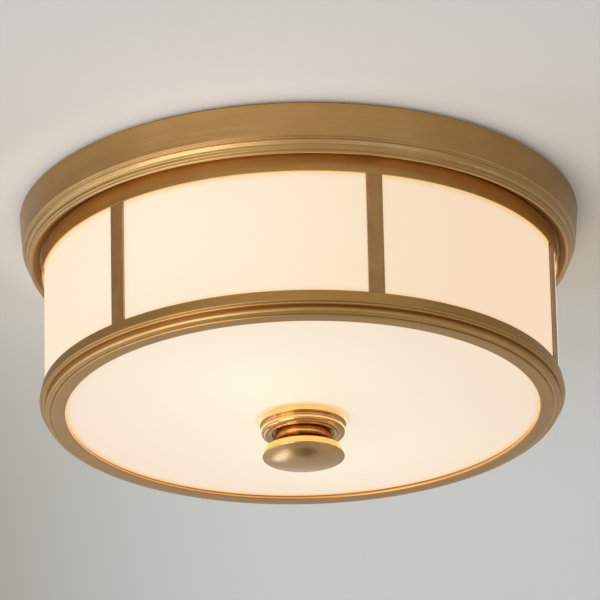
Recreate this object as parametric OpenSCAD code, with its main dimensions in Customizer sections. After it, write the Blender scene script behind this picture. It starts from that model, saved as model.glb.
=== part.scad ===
// Flush ceiling light: a spun brass pan, a brass cage of two rings and six straps round an opal glass drum,
// a domed glass lens held up by a finial on a centre rod, and two screw-in lamps lying side by side inside.
// Origin: centre of the ceiling plane. +Z is up, so the whole light hangs below zero. Millimetres.

/* [Pan] */
// How far the pan's top edge stands out past the cage
pan_overhang = 13.3; // [11:0.1:30]
// Depth of the pan from the ceiling to its lowest moulding
pan_h = 31.2; // [28:0.1:45]
// Sheet thickness of the pan
pan_t = 1.2; // [0.8:0.1:1.6]
// How much the tall band narrows towards its foot
pan_draft = 1.9; // [0.5:0.1:3]
// Diameter of the bead under the tall band
pan_bead_d = 3; // [2.4:0.1:3.6]
// Height of the plain step under that bead
pan_step_h = 4.7; // [4:0.1:7]
// Diameter of the small bead on the lower lip
pan_lip_d = 2; // [1.6:0.1:2.4]
// How far the soffit rises from the lip to the pan's floor
soffit_rise = 3.6; // [3:0.1:6]

/* [Cage] */
// Outer radius of the upper ring and of the straps
cage_r = 158.2; // [156:0.1:175]
// Height of the upper ring
upper_ring_h = 11.6; // [9:0.1:18]
// Sheet thickness of the upper ring
ring_t = 0.8; // [0.6:0.1:0.9]
// Width of the upper ring's inward flange
flange_w = 8; // [5:0.5:9]
// Number of straps
strap_count = 6; // [3:1:12]
// Width of a strap
strap_w = 10; // [6:0.5:16]
// Thickness of a strap
strap_t = 1.3; // [1.2:0.1:2]
// Length of the tongue that laps behind each ring
tongue_l = 6; // [3:0.5:7]
// Angle of the first strap, measured from the near side
strap_turn = -43.27; // [-60:0.01:60]

/* [Lower ring] */
// Height of the flared band at the top of the lower ring
band_h = 6.7; // [5.5:0.1:12]
// How far the band flares out
band_flare = 1.2; // [0.6:0.1:3]
// Diameter of the thin bead under the band
thin_bead_d = 1.8; // [1.4:0.1:2]
// Diameter of the large torus
torus_d = 4.4; // [3.8:0.1:4.6]
// Diameter of the small bead at the foot
foot_bead_d = 2.2; // [1.8:0.1:2.6]
// Thickness of the lip that the lens lies on
lip_t = 2.4; // [2:0.1:4]
// Width of that lip under the lens
lip_w = 9.8; // [6:0.1:14]

/* [Glass] */
// Height of the glass drum
drum_h = 93.6; // [80:0.1:140]
// Wall of the glass drum
drum_t = 4; // [3:0.1:5]
// How far the lens reaches under the drum's wall
lens_lap = 1.4; // [0.8:0.1:1.8]
// Thickness of the lens
lens_t = 3.6; // [3:0.1:4.4]
// How far the lens bellies down at its middle
lens_sag = 7; // [4:0.1:14]
// Width of the flat rim of the lens
lens_rim_w = 7.9; // [5:0.1:12]
// Radius of the hole in the lens
lens_hole_r = 6.5; // [5.5:0.1:8]

/* [Finial] */
// Radius of the finial's upper flange
flange_r = 26.6; // [25.5:0.1:34]
// Height of the flange's outer band
flange_band_h = 4.3; // [3:0.1:6]
// Diameter of the torus under that band
flange_torus_d = 3.8; // [3:0.1:4.6]
// Outer radius of the flange's torus
flange_torus_r = 24.9; // [24:0.1:25.4]
// Height of the whole flange
flange_h = 10.2; // [9.8:0.1:14]
// Radius of the knob's neck
neck_r = 17.2; // [12:0.1:18.5]
// Length of the neck that shows between flange and knob
neck_h = 4.2; // [3:0.1:8]
// Height of the flare from the neck to the knob's rim
flare_h = 4.7; // [3:0.1:7]
// Radius of the knob at the top of its rim
knob_top_r = 24; // [22.5:0.1:30]
// How much wider the rim is at its foot
knob_swell = 1.1; // [0.4:0.1:2]
// Height of the knob's rim
knob_rim_h = 4.5; // [3:0.1:8]
// Height of the knob's domed face
knob_dome_h = 3.4; // [2:0.1:8]

/* [Rod] */
// Radius of the centre rod
rod_r = 4.85; // [4:0.05:4.9]
// How far the rod goes into the knob
rod_grip = 10; // [8:0.1:11]
// Depth of the knob's hole beyond the end of the rod
rod_spare = 2.5; // [1:0.1:3]
// Length of the rod above the pan's floor
rod_top_l = 9; // [7:0.5:12]

/* [Lamps] */
// Diameter of a lamp's globe
lamp_d = 60; // [45:1:62]
// Overall length of a lamp
lamp_l = 110; // [96:1:114]
// Wall of the lamp's glass
bulb_t = 0.8; // [0.6:0.1:1.2]
// Radius of the lamp's screw cap
cap_r = 13; // [12.5:0.1:13.2]
// Length of the lamp's screw cap
cap_l = 24; // [20:0.5:26]
// Sideways distance of each lamp's axis from the centre rod
lamp_side = 38; // [37:0.5:44]
// Depth of the lamp axes below the pan's floor
lamp_drop = 42.4; // [38:0.1:50]
// Direction of the lamp axes seen from above
lamp_turn = -71.2; // [-90:0.1:-50]

/* [Lampholders] */
// Clearance between the lampholders and the glass drum
holder_clear = 4; // [3:0.5:10]
// Outer radius of a lampholder
holder_r = 20; // [17.5:0.5:21]
// Length of a lampholder
holder_l = 40; // [36:0.5:42]
// Depth of its socket
socket_l = 28; // [25:0.5:30]
// Wall of the metal screw shell
shell_t = 0.8; // [0.5:0.1:1]
// Thickness of the bracket
bracket_t = 1.5; // [1:0.1:3]
// Width of the bracket's arms at their ends
bracket_w = 24; // [20:1:30]
// Width of the bracket at the rod
bracket_mid_w = 28; // [24:1:34]

/* [Ceiling fixing] */
// Distance between the two slots for the ceiling box
box_spacing = 88.9; // [86:0.1:100]
// Length of a slot
slot_l = 12; // [8:0.5:16]
// Width of a slot
slot_w = 4.6; // [4:0.1:5.5]
// Width of the crossbar
bar_w = 20; // [14:0.5:26]
// Thickness of the crossbar
bar_t = 1.6; // [1.2:0.1:3]
// How far the middle of the crossbar is set down
bar_set = 5; // [4:0.1:8]
// Distance between the two screws that hold the pan
pan_screw_spacing = 56; // [50:0.5:57]
// Radius of those screws
pan_screw_r = 2.1; // [1.8:0.1:2.5]
// Thickness of the insulation in the pan
pad_t = 12; // [6:0.5:16]
// Radius of the opening in the insulation
pad_hole_r = 42; // [40:0.5:60]

/* [Fits] */
// Running gap between the pan and the cage
cage_gap = 0.3; // [0.2:0.05:1]
// Gap between the straps and the glass
glass_gap = 0.4; // [0.3:0.05:1]
// Clearance of the lens in the lower ring
lens_gap = 0.3; // [0.2:0.05:0.6]
// Thickness of the gasket on top of the drum
drum_gasket_t = 1; // [0.5:0.1:2]
// Thickness of the gasket under the lens
lens_gasket_t = 0.5; // [0.3:0.1:1]
// Thickness of the washer between lens and finial
washer_t = 0.5; // [0.3:0.1:1.5]
// Radial clearance of the rod in the knob
thread_gap = 0.08; // [0.03:0.01:0.1]
// Radial clearance of the rod in plain holes
rod_gap = 0.4; // [0.3:0.05:1]
// Gap between a lamp's cap and its screw shell
cap_gap = 0.35; // [0.3:0.05:0.5]

/* [Hidden] */
$fn = 96;
pan_r = cage_r + pan_overhang;
pan_quirk = 0.5;
pan_band_h = pan_h - pan_quirk - pan_bead_d - pan_step_h - pan_lip_d * 0.4;
floor_z = -(pan_h - soffit_rise);
neck_gap = 1;
cage_z = floor_z - cage_gap;
drum_top = cage_z - pan_t - drum_gasket_t;
drum_bot = drum_top - drum_h;
strap_in_r = cage_r - strap_t;
glass_r = strap_in_r - glass_gap;
lap_r = cage_r - ring_t;
drum_in_r = glass_r - drum_t;
lens_r = drum_in_r + lens_lap;
pocket_r = lens_r + lens_gap;
lens_z = drum_bot - lens_t;
ledge_z = lens_z - lens_gasket_t;
lip_z = ledge_z - lip_t;
lip_in_r = lens_r - lip_w;
upper_ring_low = cage_z - upper_ring_h;
mould_z = drum_bot + 0.95;
lower_ring_top = mould_z + band_h;
dome_r = lens_r - lens_rim_w;
lens_low = lens_z - lens_sag;
seat_z = lens_low - washer_t;
flange_low = seat_z - flange_h;
socket_up = 2.2;
knob_z = flange_low + socket_up;
rim_z = flange_low - neck_h - flare_h;
knob_low = rim_z - knob_rim_h;
rod_low = knob_z - rod_grip;
rod_high = floor_z + pan_t + rod_top_l;
nut_h = 5;
nut_r = 9;
lamp_z = floor_z - lamp_drop;
lamp_r = lamp_d / 2;
holder_screw_head = 2;
holder_reach = sqrt(pow(drum_in_r - holder_clear, 2) - pow(lamp_side + holder_r, 2));
holder_back = holder_reach - bracket_t - holder_screw_head;
holder_mouth = holder_back - holder_l;
socket_floor = holder_mouth + socket_l;
lamp_end = socket_floor - 5;
lamp_along = lamp_end - lamp_l + lamp_r;
eyelet_l = 3;
contact_gap = 0.3;
shell_r = cap_r + cap_gap;
screw_head_h = 2.2;
pad_edge_gap = 5;
pad_r = pan_r - pan_draft - pan_t - pad_edge_gap;
pan_screw_head_r = pan_screw_r * 1.9;
thread_play = 0.05;
bar_flat = pan_screw_spacing / 2 + pan_screw_head_r + 0.6;
bar_bend = 3;
ground_x = 12;
ground_r = 1.9;
ground_head_h = 2.6;
cap_nut_r = 4.4;
cap_nut_h = 5.5;
cap_nut_flange_r = 5.5;
cap_nut_flange_t = 1.2;
bushing_place = 22;
bushing_r = 6;
bushing_bore = 4;
bushing_rim_t = 1.5;
lock_washer_t = 0.9;
tab_drop = 14;
holder_screw_z = 9;
holder_screw_r = 1.45;
holder_screw_grip = 6;

// Helpers

// A round hole or bar between two heights
module post(r, low, high) {
  translate([0, 0, low]) cylinder(r = r, h = high - low);
}

// A flat ring between two heights
module washer(r, hole, low, high) {
  difference() {
    post(r, low, high);
    post(hole, low - 1, high + 1);
  }
}

// A round bead about the middle of the light
module bead(r, z, d) {
  rotate_extrude($fn = 180) translate([r, z]) circle(d = d, $fn = 48);
}

// Puts its children at a lamp: the lamp's axis lies along +X, towards its tip
module at_lamp(k) {
  rotate([0, 0, lamp_turn + (k - 1) * 180]) translate([0, lamp_side, lamp_z]) children();
}

// Turns a section drawn as (radius, place along the lamp) about the lamp's axis
module lamp_turned() {
  rotate([0, 90, 0]) rotate_extrude() children();
}

// The part of a disc between two spheres, as a section: rim at height 0, belly at -sag
module dome_section(r, sag, t, hole) {
  ball = (r * r + sag * sag) / (2 * sag);
  intersection() {
    translate([hole, -sag - 1]) square([r - hole, sag + t + 2]);
    difference() {
      translate([0, ball - sag]) circle(ball, $fn = 720);
      translate([0, ball - sag + t]) circle(ball, $fn = 720);
    }
  }
}

// Ceiling side

// The pan is the space between an outer outline with two beads and an inner one
module ceiling_pan() {
  foot_r = pan_r - pan_draft;
  bead_r = foot_r - 0.4 - pan_bead_d / 2;
  bead_z = -pan_band_h - pan_quirk - pan_bead_d / 2;
  step_z = bead_z - pan_bead_d / 2;
  step_r = bead_r - 0.3;
  low_r = step_r - 1.3;
  lip_r = low_r - 1.5;
  lip_c = -pan_h + pan_lip_d / 2;
  inner_r = cage_r + neck_gap;
  color([0.66, 0.5, 0.28]) difference() {
    union() {
      rotate_extrude($fn = 180)
        polygon([[0, 0], [pan_r, 0], [foot_r, -pan_band_h], [foot_r - 1.2, -pan_band_h - pan_quirk],
          [bead_r - 0.2, bead_z], [bead_r - 0.5, step_z], [step_r, step_z], [low_r, step_z - pan_step_h],
          [lip_r + 0.1, lip_c + 0.1], [lip_r - 0.8, -pan_h + 0.2], [inner_r, floor_z], [0, floor_z]]);
      bead(bead_r, bead_z, pan_bead_d);
      bead(lip_r, lip_c, pan_lip_d);
    }
    rotate_extrude($fn = 180)
      polygon([[0, 1], [pan_r - pan_t, 1], [pan_r - pan_t, 0], [foot_r - pan_t, -pan_band_h],
        [low_r - pan_t - 0.6, -pan_h + 2.2], [lip_r - 0.8, -pan_h + 2.2],
        [inner_r + pan_t * 0.8, floor_z + pan_t], [0, floor_z + pan_t]]);
    post(rod_r + rod_gap, floor_z - 1, floor_z + pan_t + 1);
    for (s = [-1, 1]) translate([s * pan_screw_spacing / 2, 0, 0])
      post(pan_screw_r + 0.3, floor_z - 1, floor_z + pan_t + 1);
    translate([bushing_place, bushing_place, 0]) post(bushing_r, floor_z - 1, floor_z + pan_t + 1);
  }
}

module insulation_pad() {
  color([0.86, 0.85, 0.8]) washer(pad_r, pad_hole_r, floor_z + pan_t, floor_z + pan_t + pad_t);
}

// The bar's side view: two ears at the ceiling and a middle set down for the screw heads
module crossbar() {
  ear_in = bar_flat + bar_bend;
  ear_out = box_spacing / 2 + slot_l / 2 + 4;
  mid = bar_flat;
  color([0.75, 0.76, 0.78]) difference() {
    rotate([90, 0, 0]) translate([0, 0, -bar_w / 2]) linear_extrude(bar_w)
      polygon([[-ear_out, 0], [-ear_in, 0], [-mid, -bar_set], [mid, -bar_set], [ear_in, 0], [ear_out, 0],
        [ear_out, -bar_t], [ear_in, -bar_t], [mid, -bar_set - bar_t], [-mid, -bar_set - bar_t],
        [-ear_in, -bar_t], [-ear_out, -bar_t]]);
    for (s = [-1, 1]) {
      translate([s * box_spacing / 2, 0, -bar_t - 1]) {
        translate([-(slot_l - slot_w) / 2, 0, 0]) cylinder(d = slot_w, h = bar_t + 2);
        translate([(slot_l - slot_w) / 2, 0, 0]) cylinder(d = slot_w, h = bar_t + 2);
        translate([-(slot_l - slot_w) / 2, -slot_w / 2, 0]) cube([slot_l - slot_w, slot_w, bar_t + 2]);
      }
      translate([s * pan_screw_spacing / 2, 0, 0]) post(pan_screw_r + thread_play, -bar_set - bar_t - 1, 1);
    }
    translate([ground_x, 0, 0]) post(ground_r + thread_play, -bar_set - bar_t - 1, 1);
  }
}

module ground_screw() {
  color([0.15, 0.5, 0.25]) translate([ground_x, 0, 0]) {
    washer_z = -bar_set - bar_t;
    post(ground_r, washer_z - 6, -bar_set + 0.5);
    difference() {
      post(ground_r * 2.2, washer_z - ground_head_h, washer_z);
      translate([-5, -0.5, washer_z - ground_head_h - 0.4]) cube([10, 1, 1.4]);
    }
  }
}

module pan_screws() {
  color([0.78, 0.78, 0.8]) for (s = [-1, 1]) translate([s * pan_screw_spacing / 2, 0, 0]) {
    post(pan_screw_r, floor_z - cap_nut_h - 0.5, -bar_set);
    post(pan_screw_head_r, -bar_set, -bar_set + screw_head_h);
  }
}

// Knurled cap nuts that close on the pan screws under the floor
module pan_cap_nuts() {
  color([0.7, 0.54, 0.3]) for (s = [-1, 1]) translate([s * pan_screw_spacing / 2, 0, floor_z])
    difference() {
      union() {
        post(cap_nut_flange_r, -cap_nut_flange_t, 0);
        translate([0, 0, -cap_nut_h]) cylinder(r = cap_nut_r, h = cap_nut_h, $fn = 12);
        intersection() {
          translate([0, 0, -cap_nut_h]) sphere(cap_nut_r);
          post(cap_nut_r, -2 * cap_nut_h, -cap_nut_h);
        }
      }
      post(pan_screw_r + thread_play, -cap_nut_h - 0.8, 1);
    }
}

module lead_bushing() {
  color([0.12, 0.12, 0.12]) translate([bushing_place, bushing_place, 0]) {
    washer(bushing_r + 1.8, bushing_bore, floor_z - bushing_rim_t, floor_z);
    washer(bushing_r - thread_play, bushing_bore, floor_z - 0.5, floor_z + pan_t + 2);
  }
}

// A flat strip under the floor, its ends turned down behind the lampholders
module socket_bracket() {
  end_x = holder_back + bracket_t;
  half = bracket_w / 2;
  mid = bracket_mid_w / 2;
  color([0.8, 0.8, 0.82]) difference() {
    union() {
      rotate([0, 0, lamp_turn]) translate([0, 0, floor_z - bracket_t]) linear_extrude(bracket_t)
        polygon([[-end_x, lamp_side + half], [-end_x, lamp_side - half], [0, -mid],
          [end_x, -lamp_side - half], [end_x, -lamp_side + half], [0, mid]]);
      for (k = [1, 2]) at_lamp(k) translate([-end_x, -half, -tab_drop])
        cube([bracket_t, bracket_w, lamp_drop + tab_drop - bracket_t / 2]);
    }
    post(rod_r + rod_gap, floor_z - bracket_t - 1, floor_z + 1);
    for (k = [1, 2]) at_lamp(k) for (s = [-1, 1]) translate([-end_x - 1, 0, s * holder_screw_z])
      rotate([0, 90, 0]) cylinder(r = holder_screw_r + 0.25, h = bracket_t + 2);
  }
}

module centre_rod() {
  color([0.76, 0.7, 0.55]) difference() {
    post(rod_r, rod_low, rod_high);
    translate([0, 0, rod_low]) rotate_extrude()
      polygon([[rod_r - 0.8, -0.01], [rod_r + 1, -0.01], [rod_r + 1, 1.79]]);
  }
}

module rod_nuts() {
  color([0.75, 0.72, 0.62]) for (low = [floor_z + pan_t + lock_washer_t, floor_z - bracket_t - nut_h])
    difference() {
      translate([0, 0, low]) cylinder(r = nut_r, h = nut_h, $fn = 6);
      post(rod_r + thread_play, low - 1, low + nut_h + 1);
    }
}

module rod_lock_washer() {
  color([0.7, 0.7, 0.72]) difference() {
    washer(nut_r - 0.8, rod_r + rod_gap, floor_z + pan_t, floor_z + pan_t + lock_washer_t);
    translate([0, -0.4, floor_z]) cube([nut_r, 0.8, pan_t + 2]);
  }
}

// Lampholders, as on a bench: moulded body, metal screw shell, sprung centre contact

module lampholder(k) {
  color([0.93, 0.91, 0.87]) at_lamp(k) difference() {
    lamp_turned() polygon([[0, -holder_back], [holder_r - 2, -holder_back], [holder_r, -holder_back + 2],
      [holder_r, -holder_back + 9], [holder_r - 1.8, -holder_back + 10.5], [holder_r - 1.8, -holder_mouth - 4],
      [holder_r - 0.8, -holder_mouth - 3], [holder_r - 0.8, -holder_mouth], [0, -holder_mouth]]);
    translate([-socket_floor, 0, 0]) rotate([0, 90, 0]) cylinder(r = shell_r + shell_t, h = socket_l + 1);
    for (s = [-1, 1]) translate([-holder_back - 1, 0, s * holder_screw_z])
      rotate([0, 90, 0]) cylinder(r = holder_screw_r + thread_play, h = holder_screw_grip + 2);
  }
}

module screw_shell(k) {
  color([0.85, 0.78, 0.55]) at_lamp(k) translate([-socket_floor, 0, 0]) rotate([0, 90, 0]) difference() {
    cylinder(r = shell_r + shell_t, h = socket_l - 2);
    translate([0, 0, shell_t]) cylinder(r = shell_r, h = socket_l);
    translate([0, 0, -1]) cylinder(r = 7, h = 3);
  }
}

module centre_contact(k) {
  reach = socket_floor - lamp_end - contact_gap;
  color([0.8, 0.62, 0.3]) at_lamp(k) translate([-socket_floor, 0, 0]) rotate([0, 90, 0]) {
    cylinder(r = 5, h = 1);
    cylinder(r = 2.2, h = reach - 0.6);
    translate([0, 0, reach - 1.2]) cylinder(r = 3.2, h = 1.2);
  }
}

module holder_screws() {
  end_x = holder_back + bracket_t;
  color([0.78, 0.78, 0.8]) for (k = [1, 2]) at_lamp(k) for (s = [-1, 1])
    translate([-end_x, 0, s * holder_screw_z]) rotate([0, 90, 0]) {
      cylinder(r = holder_screw_r, h = bracket_t + holder_screw_grip);
      translate([0, 0, -holder_screw_head]) cylinder(r = holder_screw_r * 2, h = holder_screw_head);
    }
}

// Lamps

module lamp_eyelet(k) {
  color([0.2, 0.2, 0.22]) at_lamp(k) lamp_turned()
    polygon([[0, -lamp_end], [4, -lamp_end], [5, -lamp_end + 1], [9, -lamp_end + eyelet_l],
      [0, -lamp_end + eyelet_l]]);
}

module lamp_cap(k) {
  low = -lamp_end + eyelet_l;
  color([0.8, 0.8, 0.78]) at_lamp(k) lamp_turned()
    polygon([[0, low], [9.4, low], [cap_r - 0.6, low + 2], [cap_r, low + 3], [cap_r, low + cap_l],
      [cap_r - 0.5, low + cap_l], [cap_r - 0.5, low + 3.5], [9, low + 0.6], [0, low + 0.6]]);
}

// The globe is a sphere that runs into a tapered neck
module bulb_section(inset) {
  low = -lamp_end + eyelet_l + cap_l;
  neck = cap_r - 0.5;
  r = lamp_r - inset;
  lean = 35;
  union() {
    translate([0, -lamp_along]) intersection() {
      circle(r, $fn = 180);
      translate([0, -r]) square([r, 2 * r]);
    }
    polygon([[0, low], [neck - inset, low], [neck + 0.6 - inset, low + 5],
      [r * cos(lean), -lamp_along - r * sin(lean)], [0, -lamp_along - r * sin(lean)]]);
  }
}

module lamp_bulb(k) {
  color([0.98, 0.95, 0.88]) at_lamp(k) lamp_turned() difference() {
    bulb_section(0);
    difference() {
      bulb_section(bulb_t);
      translate([-1, -lamp_end]) square([0.9, lamp_l]);
    }
  }
}

// Cage

module cage_upper_ring() {
  slim = 0.2;
  color([0.62, 0.46, 0.25]) rotate_extrude($fn = 180)
    polygon([[cage_r - flange_w, cage_z], [cage_r, cage_z], [cage_r, cage_z - upper_ring_h * 0.56],
      [cage_r - slim, cage_z - upper_ring_h * 0.56 - slim], [cage_r - slim, upper_ring_low],
      [lap_r, upper_ring_low], [lap_r, cage_z - pan_t], [cage_r - flange_w, cage_z - pan_t]]);
}

// A strap is a piece of a thin tube, with a thinner tongue behind each ring
module cage_strap(k) {
  low = lower_ring_top;
  high = upper_ring_low;
  turn = strap_turn + (k - 1) * 360 / strap_count;
  color([0.64, 0.48, 0.27]) rotate([0, 0, turn]) intersection() {
    translate([-strap_w / 2, -cage_r - 1, low - tongue_l - 1])
      cube([strap_w, cage_r / 4, high - low + 2 * tongue_l + 2]);
    union() {
      washer(cage_r - 0.1, strap_in_r, low, high);
      washer(lap_r, strap_in_r, low - tongue_l, high + tongue_l);
    }
  }
}

// Stepped mouldings outside; inside, a seat for the drum and a lower one for the lens
module cage_lower_ring() {
  top_r = cage_r + 0.4;
  wide_r = top_r + band_flare;
  bead_r = wide_r - 1.9;
  bead_z = mould_z - 0.3 - thin_bead_d / 2;
  torus_r = bead_r - 4;
  torus_z = lens_z + 0.9;
  foot_z = lip_z - 0.2 + foot_bead_d / 2;
  foot_r = torus_r - 3.3;
  color([0.68, 0.52, 0.3]) rotate_extrude($fn = 180) difference() {
    union() {
      polygon([[lip_in_r, ledge_z + 1], [lip_in_r, lip_z], [foot_r, lip_z], [foot_r, foot_z],
        [torus_r - 1.2, torus_z - 1.8], [torus_r, torus_z], [torus_r + 1.6, drum_bot - 1.5],
        [bead_r, bead_z - thin_bead_d / 2 + 0.2], [bead_r, mould_z], [wide_r - 0.6, mould_z],
        [wide_r, mould_z + 0.8], [wide_r - 0.1, mould_z + 2], [top_r, lower_ring_top], [lip_in_r, lower_ring_top]]);
      translate([bead_r, bead_z]) circle(d = thin_bead_d);
      translate([torus_r, torus_z]) circle(d = torus_d);
      translate([foot_r, foot_z]) circle(d = foot_bead_d);
    }
    translate([0, drum_bot]) square([lap_r, lower_ring_top - drum_bot + 1]);
    translate([0, ledge_z]) square([pocket_r, lower_ring_top - ledge_z + 1]);
  }
}

// Glass and gaskets

module glass_drum() {
  color([1, 0.95, 0.85]) washer(glass_r, drum_in_r, drum_bot, drum_top);
}

module glass_lens() {
  color([1, 0.96, 0.88]) rotate_extrude($fn = 180) translate([0, lens_z]) union() {
    translate([dome_r, 0]) square([lens_r - dome_r, lens_t]);
    dome_section(dome_r, lens_sag, lens_t, lens_hole_r);
  }
}

module drum_gasket() {
  color([0.9, 0.9, 0.88]) washer(glass_r, drum_in_r, drum_top, drum_top + drum_gasket_t);
}

module lens_gasket() {
  color([0.9, 0.9, 0.88]) washer(lens_r - 0.5, lens_r - 6, ledge_z, lens_z);
}

// Finial

module finial_washer() {
  color([0.85, 0.85, 0.83]) washer(14, lens_hole_r, seat_z, lens_low);
}

module finial_flange() {
  torus_c = flange_torus_r - flange_torus_d / 2;
  torus_z = flange_low + 0.2 + flange_torus_d / 2;
  waist_z = seat_z - flange_band_h;
  recess_r = neck_r + 0.5;
  bore_r = rod_r + rod_gap;
  color([0.72, 0.54, 0.28]) union() {
    rotate_extrude()
      polygon([[bore_r, seat_z], [flange_r - 0.4, seat_z], [flange_r, seat_z - 0.4], [flange_r, waist_z + 0.6],
        [flange_r - 0.6, waist_z], [torus_c + 0.4, waist_z - 0.8], [torus_c - 0.2, torus_z + 0.1],
        [torus_c - 1, flange_low], [recess_r, flange_low], [recess_r, knob_z], [bore_r, knob_z]]);
    bead(torus_c, torus_z, flange_torus_d);
  }
}

// Neck, a concave flare, a swelling rim and a shallow domed face
module finial_knob() {
  rim_r = knob_top_r + knob_swell;
  flare_w = knob_top_r - neck_r;
  ball = (rim_r * rim_r + knob_dome_h * knob_dome_h) / (2 * knob_dome_h);
  flare = [for (a = [0:11.25:90]) [neck_r + flare_w * (1 - cos(a)), rim_z + flare_h * (1 - sin(a))]];
  color([0.66, 0.5, 0.28]) difference() {
    intersection() {
      rotate_extrude() polygon(concat([[0, knob_z], [neck_r, knob_z]], flare,
        [[rim_r, knob_low + 0.4], [rim_r, knob_low - knob_dome_h - 1], [0, knob_low - knob_dome_h - 1]]));
      translate([0, 0, knob_low - knob_dome_h + ball]) sphere(ball, $fn = 240);
    }
    post(rod_r + thread_gap, rod_low - rod_spare, knob_z + 1);
  }
}

ceiling_pan();
insulation_pad();
crossbar();
ground_screw();
pan_screws();
pan_cap_nuts();
lead_bushing();
socket_bracket();
centre_rod();
rod_nuts();
rod_lock_washer();
holder_screws();
for (k = [1, 2]) {
  lampholder(k);
  screw_shell(k);
  centre_contact(k);
  lamp_eyelet(k);
  lamp_cap(k);
  lamp_bulb(k);
}
cage_upper_ring();
cage_lower_ring();
glass_drum();
glass_lens();
drum_gasket();
lens_gasket();
finial_washer();
finial_flange();
finial_knob();
for (k = [1:strap_count]) {
  cage_strap(k);
}
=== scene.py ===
"""A lit flush ceiling light: brass pan, opal glass drum in a brass cage, domed lens and finial."""
import math

import bmesh
import bpy
from mathutils import Matrix, Vector


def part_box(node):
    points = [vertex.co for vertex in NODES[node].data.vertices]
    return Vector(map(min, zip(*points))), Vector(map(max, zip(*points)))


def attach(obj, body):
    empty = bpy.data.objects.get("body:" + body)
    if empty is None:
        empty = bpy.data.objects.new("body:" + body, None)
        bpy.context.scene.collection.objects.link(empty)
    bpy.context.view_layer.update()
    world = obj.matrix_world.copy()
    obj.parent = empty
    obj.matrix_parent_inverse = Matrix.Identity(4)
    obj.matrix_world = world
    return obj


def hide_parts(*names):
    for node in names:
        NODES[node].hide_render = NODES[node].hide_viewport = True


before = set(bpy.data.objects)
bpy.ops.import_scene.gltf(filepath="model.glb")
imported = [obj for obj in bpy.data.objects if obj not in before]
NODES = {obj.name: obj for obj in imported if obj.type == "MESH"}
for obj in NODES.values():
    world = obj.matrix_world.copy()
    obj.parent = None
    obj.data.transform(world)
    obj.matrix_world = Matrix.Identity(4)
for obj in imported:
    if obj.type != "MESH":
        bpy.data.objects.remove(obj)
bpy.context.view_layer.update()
STRAPS = sorted(name for name in NODES if name.startswith("cage_strap_"))

# Camera: a long lens looking up at the ceiling from the room, fitted to the picture's frame
CAMERA_PLACE = Vector((0.006194, -3.661768, -1.608421))
CAMERA_PITCH = math.radians(22.9822)
CAMERA_YAW = math.radians(-0.10005)
CAMERA_ROLL = math.radians(-1.25161)
CAMERA_LENS_MM = 390
CAMERA_SENSOR_MM = 36

# Edges of the glass that shows, read from the frame, apart from the lower ring's lip
DRUM_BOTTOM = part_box("cage_lower_ring")[1][2]
DRUM_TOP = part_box("cage_upper_ring")[0][2]
LENS_INNER_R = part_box("finial_flange")[1][0]
LENS_OUTER_R = 0.1441

# Turned outlines are in millimetres, and the scene is in metres
MM_PER_M = 1000
ON_AXIS_R = 0.001
ROD_HOLE_R = 5.25
KNOB_BORE_R = 4.93
BODY_FACETS = 300
FINIAL_FACETS = 240


def make_camera():
    forward = Vector((math.sin(CAMERA_YAW) * math.cos(CAMERA_PITCH),
                      math.cos(CAMERA_YAW) * math.cos(CAMERA_PITCH), math.sin(CAMERA_PITCH)))
    right = Vector((math.cos(CAMERA_YAW), -math.sin(CAMERA_YAW), 0))
    up = right.cross(forward)
    rolled_right = right * math.cos(CAMERA_ROLL) + up * math.sin(CAMERA_ROLL)
    rolled_up = up * math.cos(CAMERA_ROLL) - right * math.sin(CAMERA_ROLL)
    data = bpy.data.cameras.new("camera")
    data.lens = CAMERA_LENS_MM
    data.sensor_width = CAMERA_SENSOR_MM
    camera = bpy.data.objects.new("camera", data)
    turn = Matrix((rolled_right, rolled_up, -forward)).transposed()
    camera.matrix_world = Matrix.Translation(CAMERA_PLACE) @ turn.to_4x4()
    bpy.context.collection.objects.link(camera)
    bpy.context.scene.camera = camera


# Turned pieces: outlines are (radius, height), and a third number rounds that corner

def rounded(corners, steps=5):
    """The points of a closed outline, each corner cut back by its third number and rounded."""
    points = []
    count = len(corners)
    for index, corner in enumerate(corners):
        here = Vector(corner[:2])
        if len(corner) < 3:
            points.append(here)
            continue
        before = Vector(corners[index - 1][:2])
        after = Vector(corners[(index + 1) % count][:2])
        # Just under half an edge, so that the curves at its two ends never meet
        back = min(corner[2], (before - here).length * 0.48, (after - here).length * 0.48)
        start = here + (before - here).normalized() * back
        end = here + (after - here).normalized() * back
        for step in range(steps + 1):
            t = step / steps
            points.append(start * (1 - t) ** 2 + here * (2 * t * (1 - t)) + end * t ** 2)
    return points


def bead(radius, height, size, start, end, steps=12):
    """Points round a bead whose middle is at (radius, height), from one angle to another."""
    turns = [math.radians(start + (end - start) * step / steps) for step in range(steps + 1)]
    return [(radius + size * math.cos(turn), height + size * math.sin(turn)) for turn in turns]


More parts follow.
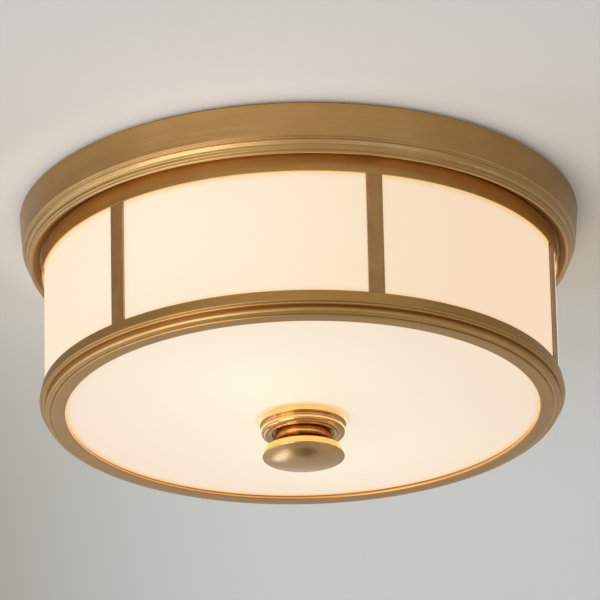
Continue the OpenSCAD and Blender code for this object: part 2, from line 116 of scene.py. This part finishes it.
def turned_mesh(name, outline, facets):
    """The closed surface that an outline sweeps about the Z axis; on the axis it has one point."""
    rings = []
    places = []
    for point in outline:
        ring = []
        on_axis = point.x < ON_AXIS_R
        for turn in range(1 if on_axis else facets):
            angle = 2 * math.pi * turn / facets
            ring.append(len(places))
            places.append((point.x * math.cos(angle) / MM_PER_M,
                           point.x * math.sin(angle) / MM_PER_M, point.y / MM_PER_M))
        rings.append(ring)
    faces = []
    for index, ring in enumerate(rings):
        following = rings[(index + 1) % len(rings)]
        for turn in range(facets):
            onward = (turn + 1) % facets
            face = [ring[turn % len(ring)], following[turn % len(following)],
                    following[onward % len(following)], ring[onward % len(ring)]]
            face = [corner for place, corner in enumerate(face) if corner not in face[:place]]
            if len(face) > 2:
                faces.append(face)
    mesh = bpy.data.meshes.new(name)
    mesh.from_pydata(places, [], faces)
    mesh.validate()
    shape = bmesh.new()
    shape.from_mesh(mesh)
    bmesh.ops.recalc_face_normals(shape, faces=shape.faces)
    shape.to_mesh(mesh)
    shape.free()
    mesh.shade_smooth()
    return mesh


def lathe(name, corners, finish, body, node, facets=BODY_FACETS):
    """Turns a closed outline about the Z axis, in place of a CAD node."""
    mesh = turned_mesh(name, rounded(corners), facets)
    mesh.materials.append(finish)
    piece = bpy.data.objects.new(name, mesh)
    bpy.context.collection.objects.link(piece)
    piece.modifiers.new("even_shading", "WEIGHTED_NORMAL").keep_sharp = True
    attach(piece, body)
    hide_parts(node)


# Node helpers

class Graph:
    """Adds nodes to a tree and wires them; a link is (node, output name or number)."""

    def __init__(self, tree):
        self.tree = tree

    def add(self, kind, inputs=None, **settings):
        node = self.tree.nodes.new(kind)
        for key, value in settings.items():
            setattr(node, key, value)
        for key, value in (inputs or {}).items():
            self.feed(node.inputs[key], value)
        return node

    def feed(self, socket, value):
        if isinstance(value, tuple) and len(value) == 2 and isinstance(value[0], bpy.types.Node):
            self.tree.links.new(value[0].outputs[value[1]], socket)
        elif isinstance(value, bpy.types.Node):
            self.tree.links.new(value.outputs[0], socket)
        else:
            socket.default_value = value

    def math(self, operation, a, b=0.0, clamp=False):
        return self.add("ShaderNodeMath", {0: a, 1: b}, operation=operation, use_clamp=clamp)

    def length(self, a, b):
        """The long side of a right-angled triangle whose other sides are a and b."""
        squares = self.math("MULTIPLY", a, a), self.math("MULTIPLY", b, b)
        return self.math("SQRT", self.math("ADD", *squares))

    def span(self, value, low, high, out_low=0.0, out_high=1.0):
        """A smooth step from one number to another as a value goes from low to high."""
        return self.add("ShaderNodeMapRange", {0: value, 1: low, 2: high, 3: out_low, 4: out_high},
                        interpolation_type="SMOOTHSTEP")

    def mix(self, factor, a, b):
        """Two colours mixed; 6, 7 and 2 are the Mix node's sockets for colours."""
        node = self.add("ShaderNodeMix", data_type="RGBA")
        self.feed(node.inputs[0], factor)
        self.feed(node.inputs[6], a)
        self.feed(node.inputs[7], b)
        return (node, 2)

    def bump(self, height, strength, distance):
        return self.add("ShaderNodeBump",
                        {"Height": height, "Strength": strength, "Distance": distance})

    def spot(self):
        """The place on the object, as a link, and a node with its X, Y and Z."""
        spot = (self.add("ShaderNodeTexCoord"), "Object")
        return spot, self.add("ShaderNodeSeparateXYZ", {0: spot})

    def noise(self, vector, scale, detail=2.0):
        return self.add("ShaderNodeTexNoise", {"Vector": vector, "Scale": scale, "Detail": detail})


def group(name, inputs, outputs):
    """A shader node group with named float, colour or vector sockets."""
    tree = bpy.data.node_groups.new(name, "ShaderNodeTree")
    for socket, (kind, value) in inputs.items():
        made = tree.interface.new_socket(socket, in_out="INPUT", socket_type="NodeSocket" + kind)
        made.default_value = value
    for socket, kind in outputs.items():
        tree.interface.new_socket(socket, in_out="OUTPUT", socket_type="NodeSocket" + kind)
    graph = Graph(tree)
    return tree, graph, graph.add("NodeGroupInput"), graph.add("NodeGroupOutput")


def material(name):
    made = bpy.data.materials.new(name)
    made.use_nodes = True
    made.node_tree.nodes.clear()
    graph = Graph(made.node_tree)
    shader = graph.add("ShaderNodeBsdfPrincipled")
    out = graph.add("ShaderNodeOutputMaterial", {0: shader})
    return made, graph, shader, out


def place(graph, tree, inputs):
    """A group placed in a material, with this material's own values."""
    node = graph.add("ShaderNodeGroup", node_tree=tree)
    for key, value in inputs.items():
        graph.feed(node.inputs[key], value)
    return node


def colour(red, green, blue):
    """An sRGB colour of 0 to 255 as the linear colour that Blender takes."""
    def linear(value):
        value /= 255
        return value / 12.92 if value <= 0.04045 else ((value + 0.055) / 1.055) ** 2.4
    return (linear(red), linear(green), linear(blue), 1)


# Shared effects

def turned_grain_group():
    """Fine lines round the Z axis, as a lathe or a spinning tool leaves them."""
    tree, graph, source, out = group(
        "turned_grain", {"Fineness": ("Float", 900.0), "Round": ("Float", 3.0)},
        {"Grain": "Float", "Cloud": "Float"})
    spot, axes = graph.spot()
    radius = graph.length((axes, 0), (axes, 1))
    safe = graph.math("MAXIMUM", radius, 0.0001)
    around_x = graph.math("MULTIPLY", graph.math("DIVIDE", (axes, 0), safe), (source, "Round"))
    around_y = graph.math("MULTIPLY", graph.math("DIVIDE", (axes, 1), safe), (source, "Round"))
    across = graph.math("MULTIPLY", radius, (source, "Fineness"))
    down = graph.math("MULTIPLY", (axes, 2), (source, "Fineness"))
    spread = graph.add("ShaderNodeCombineXYZ", {0: around_x, 1: around_y, 2: across})
    lines = graph.add("ShaderNodeTexNoise",
                      {"Vector": spread, "W": down, "Scale": 1.0, "Detail": 3.0},
                      noise_dimensions="4D")
    graph.feed(out.inputs["Grain"], lines)
    graph.feed(out.inputs["Cloud"], graph.noise(spot, 38.0, 4.0))
    return tree


def strap_grain_group():
    """Fine straight lines down a strap, as a belt leaves them."""
    tree, graph, source, out = group(
        "strap_grain", {"Fineness": ("Float", 2600.0), "Along": ("Float", 45.0)},
        {"Grain": "Float", "Cloud": "Float"})
    spot, axes = graph.spot()
    side = graph.math("MULTIPLY", (axes, 0), (source, "Fineness"))
    front = graph.math("MULTIPLY", (axes, 1), (source, "Fineness"))
    down = graph.math("MULTIPLY", (axes, 2), (source, "Along"))
    spread = graph.add("ShaderNodeCombineXYZ", {0: side, 1: front, 2: down})
    graph.feed(out.inputs["Grain"], graph.noise(spread, 1.0, 3.0))
    graph.feed(out.inputs["Cloud"], graph.noise(spot, 60.0, 3.0))
    return tree


def painted_crevice_shade_group():
    """Painted shade: 1 in grooves and corners that ambient occlusion finds shaded, 0 on open faces.
    """
    tree, graph, source, out = group("crevice_shade", {"Reach": ("Float", 0.003)}, {"Crevice shade": "Float"})
    shade = graph.add("ShaderNodeAmbientOcclusion", {"Distance": (source, "Reach")}, samples=8)
    graph.feed(out.inputs["Crevice shade"], graph.math("SUBTRACT", 1.0, (shade, "AO"), clamp=True))
    return tree


def lamp_glow_group():
    """How near a point of the glass lies to the two lamps, from 0 to about 1."""
    tree, graph, source, out = group(
        "lamp_glow", {"First lamp": ("Vector", (0, 0, 0)), "Second lamp": ("Vector", (0, 0, 0)),
                      "Spread": ("Float", 0.06), "Second share": ("Float", 1.0)}, {"Glow": "Float"})
    spot, _ = graph.spot()
    parts = []
    for lamp in ("First lamp", "Second lamp"):
        away = graph.add("ShaderNodeVectorMath", {0: spot, 1: (source, lamp)},
                         operation="DISTANCE")
        steps = graph.math("DIVIDE", (away, "Value"), (source, "Spread"))
        falling = graph.math("ADD", 1.0, graph.math("POWER", steps, 3.0))
        parts.append(graph.math("DIVIDE", 1.0, falling))
    second = graph.math("MULTIPLY", parts[1], (source, "Second share"))
    graph.feed(out.inputs["Glow"], graph.math("ADD", parts[0], second))
    return tree


TURNED_GRAIN = turned_grain_group()
STRAP_GRAIN = strap_grain_group()
CREVICE_SHADE = painted_crevice_shade_group()
LAMP_GLOW = lamp_glow_group()


# Brass

CREVICE_SHADE_REACH = 0.0035
GRAIN_DEPTH = 0.0002


def brass(name, grain_tree, pale, deep, crevice_shade_colour, rough, fineness, bite, coat, crevice_shade_span=(0.25, 0.85)):
    """Lacquered brass: grain and cloudy tone over it, with shade painted darker in the quirks
    between mouldings.

    coat is the lacquer's weight, IOR and roughness; the third colour is the painted shade, and the
    last argument is where it starts and is full.
    """
    made, graph, shader, _ = material(name)
    grain = place(graph, grain_tree, {"Fineness": fineness})
    crevice_shade = place(graph, CREVICE_SHADE, {"Reach": CREVICE_SHADE_REACH})
    tone = graph.math("ADD", graph.math("MULTIPLY", (grain, "Grain"), 0.6),
                      graph.math("MULTIPLY", (grain, "Cloud"), 0.4))
    base = graph.mix(graph.span(tone, 0.35, 0.65), deep, pale)
    # Painted shade: the colour goes towards the third colour in grooves and corners
    base = graph.mix(graph.span((crevice_shade, 0), *crevice_shade_span), base, crevice_shade_colour)
    graph.feed(shader.inputs["Base Color"], base)
    graph.feed(shader.inputs["Roughness"],
               graph.span((grain, "Grain"), 0.3, 0.7, rough - 0.05, rough + 0.06))
    graph.feed(shader.inputs["Normal"], graph.bump((grain, "Grain"), bite, GRAIN_DEPTH))
    shader.inputs["Metallic"].default_value = 1.0
    for socket, value in zip(("Coat Weight", "Coat IOR", "Coat Roughness"), coat):
        shader.inputs[socket].default_value = value
    return made


# The third colour of each brass is painted shade; the strap's is near black and starts early,
# painting the straps' side faces dark
PAN_BRASS = brass(
    "pan_brass", TURNED_GRAIN, colour(196, 154, 92), colour(186, 143, 80), colour(160, 112, 54),
    rough=0.38, fineness=1400.0, bite=0.03, coat=(0.5, 1.6, 0.12))
CAGE_BRASS = brass(
    "cage_brass", TURNED_GRAIN, colour(196, 152, 88), colour(187, 142, 78), colour(160, 112, 54),
    rough=0.36, fineness=1400.0, bite=0.03, coat=(0.3, 1.5, 0.14))
STRAP_BRASS = brass(
    "strap_brass", STRAP_GRAIN, colour(194, 149, 92), colour(177, 130, 76), colour(44, 28, 14),
    rough=0.42, fineness=2600.0, bite=0.4, coat=(0.6, 1.5, 0.2), crevice_shade_span=(0.15, 0.4))
FINIAL_BRASS = brass(
    "finial_brass", TURNED_GRAIN, colour(212, 166, 102), colour(200, 152, 88), colour(150, 98, 42),
    rough=0.17, fineness=3000.0, bite=0.01, coat=(0.4, 1.5, 0.08))


def make_pan():
    """Spun pan: recessed foot, tall band, bead, ovolo, lip bead and a soffit up to the floor."""
    outside = [(169.4, 0.0, 0.2), (169.6, -0.9, 0.2), (171.4, -1.4, 0.4),
               (169.7, -21.5, 0.4), (169.0, -21.8, 0.1)]
    outside += bead(168.4, -22.6, 0.6, 55, -50)
    outside += [(168.3, -23.3, 0.1), (168.6, -23.8, 0.5), (167.6, -26.3, 1.2),
                (166.5, -26.9, 0.3), (166.2, -29.0, 0.4)]
    outside += bead(164.9, -30.1, 1.05, 50, -120)
    outside += [(163.2, -30.6, 0.9), (159.2, -27.6, 0.8), (ROD_HOLE_R, -27.6)]
    inside = [(ROD_HOLE_R, -26.4), (160.0, -26.4, 0.8), (162.8, -28.8, 0.6), (164.6, -28.8, 0.5),
              (165.8, -26.0, 0.5), (168.4, -21.6, 0.5), (169.4, -1.0)]
    lathe("spun_pan", outside + inside, PAN_BRASS, "fixture", "ceiling_pan")


def make_collar():
    """Collar under the pan: a slightly hollow band with a flange over the glass."""
    outline = [(150.2, -27.9), (158.2, -27.9, 0.5), (158.05, -31.0, 1.5), (157.95, -35.0, 1.5),
               (158.2, -39.5, 0.3), (157.4, -39.5, 0.1), (157.4, -29.1), (150.2, -29.1)]
    lathe("collar", outline, CAGE_BRASS, "shade", "cage_upper_ring")


def make_moulded_ring():
    """Ring under the glass: flared band, bead, torus, small bead, lip, and two seats inside."""
    outside = [(157.45, -116.05), (158.6, -116.05, 0.4), (159.8, -121.8, 0.8),
               (159.7, -123.1, 0.4), (159.0, -123.4, 0.1)]
    outside += bead(158.2, -124.1, 0.8, 45, -60)
    outside += [(157.7, -125.0, 0.2), (156.8, -125.1, 0.3)]
    outside += bead(154.6, -127.0, 2.4, 50, -62)
    outside += [(154.0, -129.3, 0.3)]
    outside += bead(151.8, -129.35, 0.85, 20, -95)
    outside += [(151.0, -130.2, 0.3), (144.5, -130.2, 0.5), (144.1, -129.6, 0.3)]
    inside = [(144.1, -127.8), (154.2, -127.8), (154.2, -123.75), (157.45, -123.75)]
    lathe("moulded_ring", outside + inside, CAGE_BRASS, "shade", "cage_lower_ring")


def make_flange():
    """Finial's turned flange: band, cove, torus and a thin bead."""
    outline = [(ROD_HOLE_R, -134.8), (26.4, -134.8, 0.3), (26.5, -138.3, 0.5),
               (25.5, -138.8, 0.3), (24.5, -139.5, 0.6), (24.7, -140.1, 0.3)]
    outline += bead(23.4, -142.2, 2.4, 60, -62)
    outline += [(23.0, -144.5, 0.3), (21.8, -144.4, 0.2)]
    outline += bead(20.6, -144.2, 0.75, 30, -110)
    outline += [(19.2, -144.4, 0.3), (18.2, -143.0, 0.3), (17.7, -142.8), (ROD_HOLE_R, -142.8)]
    lathe("flange", outline, FINIAL_BRASS, "finial_seat", "finial_flange",
          FINIAL_FACETS)


def make_knob():
    """Finial's knob: neck, flare, rim and a domed face."""
    rim_r, rim_z, top_z, bore_z, steps = 25.1, -158.9, -161.8, -155.3, 12
    dome = [(rim_r * (1 - step / steps), rim_z - (rim_z - top_z) * (1 - (1 - step / steps) ** 2))
            for step in range(2, steps)]
    outline = [(KNOB_BORE_R, -142.8), (17.2, -142.8, 0.2), (17.2, -149.0, 1.2),
               (18.6, -151.6, 1.6), (23.6, -153.7, 0.5), (24.6, -154.6, 0.6),
               (rim_r, -158.4, 0.4), (24.8, -159.0, 0.3)]
    outline += dome + [(0.0, top_z), (0.0, bore_z), (KNOB_BORE_R, bore_z)]
    lathe("knob", outline, FINIAL_BRASS, "finial", "finial_knob", FINIAL_FACETS)


# Lit glass

GLASS_STRENGTH = 0.84
GLASS_SPILL = 1.1
RIM_GLOW = colour(250, 205, 130)
RIM_BAND = 0.004
RIM_SHARE = 0.6


def middle(node):
    low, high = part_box(node)
    return (Vector(low) + Vector(high)) / 2


FIRST_LAMP = tuple(middle("lamp_bulb_2"))
SECOND_LAMP = tuple(middle("lamp_bulb_1"))


def opal_glass(name, pale, peach, hot, edges, across):
    """Etched opal glass lit from inside: hottest by the lamps, with a painted orange glow where
    brass touches it.

    edges are where brass meets it: two radii when across is true, and two heights when it isn't.
    """
    made, graph, shader, _ = material(name)
    glow = place(graph, LAMP_GLOW, {"First lamp": FIRST_LAMP, "Second lamp": SECOND_LAMP,
                                    "Spread": 0.075, "Second share": 0.7})
    spot, axes = graph.spot()
    cloud = graph.noise(spot, 9.0)
    lit = graph.mix(graph.span(glow, 0.08, 0.55), peach, pale)
    lit = graph.mix(graph.span(glow, 0.5, 0.9), lit, hot)
    along = graph.length((axes, 0), (axes, 1)) if across else (axes, 2)
    # Painted light: an orange glow along the edges where brass meets the glass
    near_low = graph.span(along, edges[0], edges[0] + RIM_BAND, 1.0, 0.0)
    near_high = graph.span(along, edges[1] - RIM_BAND, edges[1])
    painted_rim_glow = graph.math("MULTIPLY", graph.math("MAXIMUM", near_low, near_high), RIM_SHARE)
    lit = graph.mix(painted_rim_glow, lit, RIM_GLOW)
    lit = graph.mix(graph.span(cloud, 0.4, 0.6, 0.0, 0.05), lit, peach)
    path = graph.add("ShaderNodeLightPath")
    on_others = graph.math("MAXIMUM", (path, "Is Glossy Ray"), (path, "Is Diffuse Ray"))
    stronger = graph.math("ADD", 1.0, graph.math("MULTIPLY", on_others, GLASS_SPILL))
    lit = graph.add("ShaderNodeVectorMath", {0: lit, "Scale": stronger}, operation="SCALE")
    base = graph.mix(graph.span(cloud, 0.35, 0.65), colour(106, 103, 98), colour(112, 108, 101))
    graph.feed(shader.inputs["Emission Color"], lit)
    graph.feed(shader.inputs["Base Color"], base)
    graph.feed(shader.inputs["Normal"], graph.bump(cloud, 0.05, 0.001))
    shader.inputs["Roughness"].default_value = 0.45
    shader.inputs["Emission Strength"].default_value = GLASS_STRENGTH
    return made


LENS_GLASS = opal_glass("lens_glass", colour(252, 236, 209), colour(246, 221, 195),
                        colour(255, 254, 224), (LENS_INNER_R, LENS_OUTER_R), across=True)
DRUM_GLASS = opal_glass("drum_glass", colour(255, 240, 208), colour(254, 223, 188),
                        colour(255, 241, 211), (DRUM_BOTTOM, DRUM_TOP), across=False)


def bulb_glass():
    """Frosted lamp glass, glowing most at the middle of its globe."""
    made, graph, shader, _ = material("bulb_glass")
    glow = place(graph, LAMP_GLOW, {"First lamp": FIRST_LAMP, "Second lamp": SECOND_LAMP,
                                    "Spread": 0.05, "Second share": 1.0})
    hot = graph.span(glow, 0.3, 0.9)
    graph.feed(shader.inputs["Emission Color"],
               graph.mix(hot, colour(255, 196, 120), colour(255, 240, 205)))
    graph.feed(shader.inputs["Base Color"],
               graph.mix(hot, colour(200, 196, 186), colour(214, 210, 200)))
    shader.inputs["Emission Strength"].default_value = 1.1
    shader.inputs["Roughness"].default_value = 0.4
    return made


BULB_GLASS = bulb_glass()


# Inner pieces

def mottled(name, first, second, scale, rough, metallic, bite=0.1, stretch=(1, 1, 1)):
    """A finish of two tones in small patches; stretch draws them out along an axis."""
    made, graph, shader, _ = material(name)
    spot, _ = graph.spot()
    spread = graph.add("ShaderNodeVectorMath", {0: spot, 1: stretch}, operation="MULTIPLY")
    patches = graph.noise(spread, scale, 4.0)
    graph.feed(shader.inputs["Base Color"],
               graph.mix(graph.span(patches, 0.35, 0.65), first, second))
    graph.feed(shader.inputs["Roughness"],
               graph.span(patches, 0.3, 0.7, rough - 0.06, rough + 0.06))
    graph.feed(shader.inputs["Normal"], graph.bump(patches, bite, 0.0004))
    shader.inputs["Metallic"].default_value = metallic
    return made


STEEL = mottled("zinc_steel", colour(176, 178, 182), colour(150, 153, 158), 220, 0.35, 1.0)
ROD_STEEL = mottled("yellow_zinc", colour(190, 170, 110), colour(165, 148, 96), 260, 0.34, 1.0,
                    0.2, (1, 1, 6))
SHELL_METAL = mottled("shell_metal", colour(214, 196, 140), colour(190, 170, 112), 300, 0.3, 1.0)
CAP_METAL = mottled("cap_metal", colour(205, 205, 200), colour(176, 176, 172), 300, 0.3, 1.0)
CONTACT = mottled("contact_brass", colour(210, 165, 90), colour(186, 140, 70), 300, 0.3, 1.0)
PORCELAIN = mottled("porcelain", colour(236, 232, 222), colour(222, 217, 205), 60, 0.2, 0.0, 0.05)
INSULATION = mottled("insulation_wool", colour(226, 222, 204), colour(196, 190, 168), 420, 0.9,
                     0.0, 1.0)
GASKET = mottled("gasket_felt", colour(224, 222, 216), colour(204, 202, 196), 500, 0.8, 0.0, 0.5)
NYLON = mottled("bushing_nylon", colour(34, 34, 36), colour(24, 24, 25), 300, 0.4, 0.0, 0.2)
BLACK_GLASS = mottled("black_glass", colour(30, 28, 34), colour(20, 19, 24), 200, 0.15, 0.0)
GREEN = mottled("ground_green", colour(44, 120, 62), colour(30, 92, 46), 320, 0.35, 0.6)


# Every CAD node has its finish, also the ones that a turned piece replaces
FINISHES = {
    "ceiling_pan": PAN_BRASS, "pan_cap_nuts": PAN_BRASS, "cage_upper_ring": CAGE_BRASS,
    "cage_lower_ring": CAGE_BRASS, "finial_flange": FINIAL_BRASS, "finial_knob": FINIAL_BRASS,
    "glass_lens": LENS_GLASS, "glass_drum": DRUM_GLASS, "insulation_pad": INSULATION,
    "crossbar": STEEL, "pan_screws": STEEL, "socket_bracket": STEEL, "holder_screws": STEEL,
    "rod_lock_washer": STEEL, "ground_screw": GREEN, "lead_bushing": NYLON,
    "centre_rod": ROD_STEEL, "rod_nuts": ROD_STEEL,
    "drum_gasket": GASKET, "lens_gasket": GASKET, "finial_washer": GASKET}
for strap in STRAPS:
    FINISHES[strap] = STRAP_BRASS
for number in ("1", "2"):
    FINISHES.update({
        "lampholder_" + number: PORCELAIN, "screw_shell_" + number: SHELL_METAL,
        "centre_contact_" + number: CONTACT, "lamp_eyelet_" + number: BLACK_GLASS,
        "lamp_cap_" + number: CAP_METAL, "lamp_bulb_" + number: BULB_GLASS})


def finish_nodes():
    for name, finish in FINISHES.items():
        slots = NODES[name].data.materials
        if not slots:
            slots.append(finish)
        for index in range(len(slots)):
            slots[index] = finish


# Ceiling, lamps and world

CEILING_HALF = 8
CEILING_Z = 0.0006
GLOW_RING = (0.172, 0.215)


def ceiling_material():
    """Pale matt ceiling with painted light and shade: lighter and warm at the near left, the top
    left of the camera's view, a painted shadow at the far left, cooler far away, painted light
    beside the pan and painted shade in its reflections; clear from above.
    """
    made, graph, shader, out = material("ceiling_paint")
    spot, axes = graph.spot()
    # Painted light and shade: lighter on the near left, and a painted shadow on the far left
    near_painted_shading = graph.mix(graph.span((axes, 0), -0.05, 0.35),
                          colour(224, 218, 211), colour(214, 211, 203))
    far_painted_shading = graph.mix(graph.span((axes, 0), -0.4, 0.0),
                         colour(152, 150, 133), colour(224, 223, 214))
    tone = graph.mix(graph.span((axes, 1), -0.5, 0.5), near_painted_shading, far_painted_shading)
    radius = graph.length((axes, 0), (axes, 1))
    # Painted light: a ring of ceiling beside the pan is lifted towards near white, paler than the
    # pan's shade leaves it
    painted_light_beside_pan = graph.math("MULTIPLY", graph.span(radius, *GLOW_RING, 1.0, 0.0), 0.5)
    tone = graph.mix(painted_light_beside_pan, tone, colour(247, 242, 235))
    # Painted shade in reflections: to glossy rays only, the ceiling is darker towards the brass's
    # left and right sides, so the brass mirrors it darker there
    path = graph.add("ShaderNodeLightPath")
    off_middle = graph.math("DIVIDE", graph.math("ABSOLUTE", (axes, 0)), radius)
    sides = graph.span(off_middle, 0.3, 1.0, 0.08, 0.42)
    painted_shade_in_reflections = graph.math("MULTIPLY", sides, (path, "Is Glossy Ray"))
    graph.feed(shader.inputs["Base Color"], graph.mix(painted_shade_in_reflections, tone, colour(30, 29, 28)))
    graph.feed(shader.inputs["Normal"], graph.bump(graph.noise(spot, 500.0), 0.05, 0.0005))
    shader.inputs["Roughness"].default_value = 0.9
    shader.inputs["Specular IOR Level"].default_value = 0.0
    # Seen from the room and in the brass, and clear to all else
    side = graph.add("ShaderNodeNewGeometry")
    seen = graph.math("MAXIMUM", (path, "Is Camera Ray"), (path, "Is Glossy Ray"))
    seen = graph.math("MULTIPLY", seen, graph.math("SUBTRACT", 1.0, (side, "Backfacing")))
    clear = graph.add("ShaderNodeBsdfTransparent")
    graph.feed(out.inputs[0], graph.add("ShaderNodeMixShader", {0: seen, 1: clear, 2: shader}))
    return made


def make_ceiling():
    half, height = CEILING_HALF, CEILING_Z
    mesh = bpy.data.meshes.new("ceiling")
    mesh.from_pydata([(-half, -half, height), (-half, half, height),
                      (half, half, height), (half, -half, height)], [], [(0, 1, 2, 3)])
    plane = bpy.data.objects.new("ceiling", mesh)
    mesh.materials.append(ceiling_material())
    bpy.context.collection.objects.link(plane)


def area_light(name, place_at, aim, size, watts, tint):
    data = bpy.data.lights.new(name, "AREA")
    data.size = size
    data.energy = watts
    data.color = tint
    lamp = bpy.data.objects.new(name, data)
    lamp.location = place_at
    lamp.rotation_euler = (Vector(aim) - Vector(place_at)).to_track_quat("-Z", "Y").to_euler()
    bpy.context.collection.objects.link(lamp)


# What the brass mirrors: direction, angle of the even part, angle where it ends, brightness, and
# how many times narrower than tall
ROOM_PATCHES = [
    ((-0.88, 0.1, -0.42), 12, 36, (1.15, 1.3, 1.6), 1.0),
    ((-0.73, 0.14, -0.66), 2, 12, (3.4, 4.0, 5.2), 1.0),
    ((0.0, -0.39, -0.92), 14, 42, (0.32, 0.31, 0.3), 1.0),
    ((0.0, 0.8, -0.6), 20, 48, (0.5, 0.49, 0.47), 1.0),
    ((-0.107, 0.871, -0.483), 6, 13, (2.1, 2.3, 2.7), 6.0),
    ((0.01, 0.807, -0.59), 3, 9, (0.15, 0.14, 0.12), 1.6),
    ((-0.62, -0.7, -0.35), 4, 16, (1.9, 2.2, 2.8), 0.45),
    ((0.62, -0.7, -0.35), 4, 14, (1.0, 1.1, 1.3), 0.45),
    ((0.73, 0.14, -0.66), 2, 12, (1.7, 1.9, 2.3), 1.0),
]


def make_world():
    """A room: brighter on the left, darker to the right, with windows and walls as soft patches."""
    world = bpy.data.worlds.new("room")
    bpy.context.scene.world = world
    world.use_nodes = True
    world.node_tree.nodes.clear()
    graph = Graph(world.node_tree)
    direction = (graph.add("ShaderNodeTexCoord"), "Generated")
    axes = graph.add("ShaderNodeSeparateXYZ", {0: direction})
    tone = graph.mix(graph.span((axes, 0), -1.0, 1.0), (0.98, 0.97, 0.95, 1), (0.42, 0.41, 0.40, 1))

    def along(axis):
        dot = graph.add("ShaderNodeVectorMath", {0: direction, 1: axis}, operation="DOT_PRODUCT")
        return (dot, "Value")

    def patch(towards, inner, outer, narrow):
        """1 near a direction and 0 beyond the outer angle, both in degrees."""
        towards = Vector(towards).normalized()
        sideways = towards.cross(Vector((0, 0, 1))).normalized()
        aside = graph.math("MULTIPLY", along(sideways), narrow)
        off = graph.length(aside, along(sideways.cross(towards)))
        edges = math.sin(math.radians(inner)), math.sin(math.radians(outer))
        inside = graph.span(off, *edges, 1.0, 0.0)
        return graph.math("MULTIPLY", inside, graph.math("GREATER_THAN", along(towards), 0.0))

    for towards, inner, outer, brightness, narrow in ROOM_PATCHES:
        tone = graph.mix(patch(towards, inner, outer, narrow), tone, (*brightness, 1))
    back = graph.add("ShaderNodeBackground", {0: tone, 1: 1.0})
    graph.add("ShaderNodeOutputWorld", {0: back})


make_camera()
make_pan()
make_collar()
make_moulded_ring()
make_flange()
make_knob()
finish_nodes()
make_ceiling()
make_world()
area_light("window", (-2.4, -2.2, -1.8), (0, 0, -0.05), 2.4, 36, (1.0, 0.97, 0.93))

bpy.context.scene.view_settings.view_transform = "Standard"
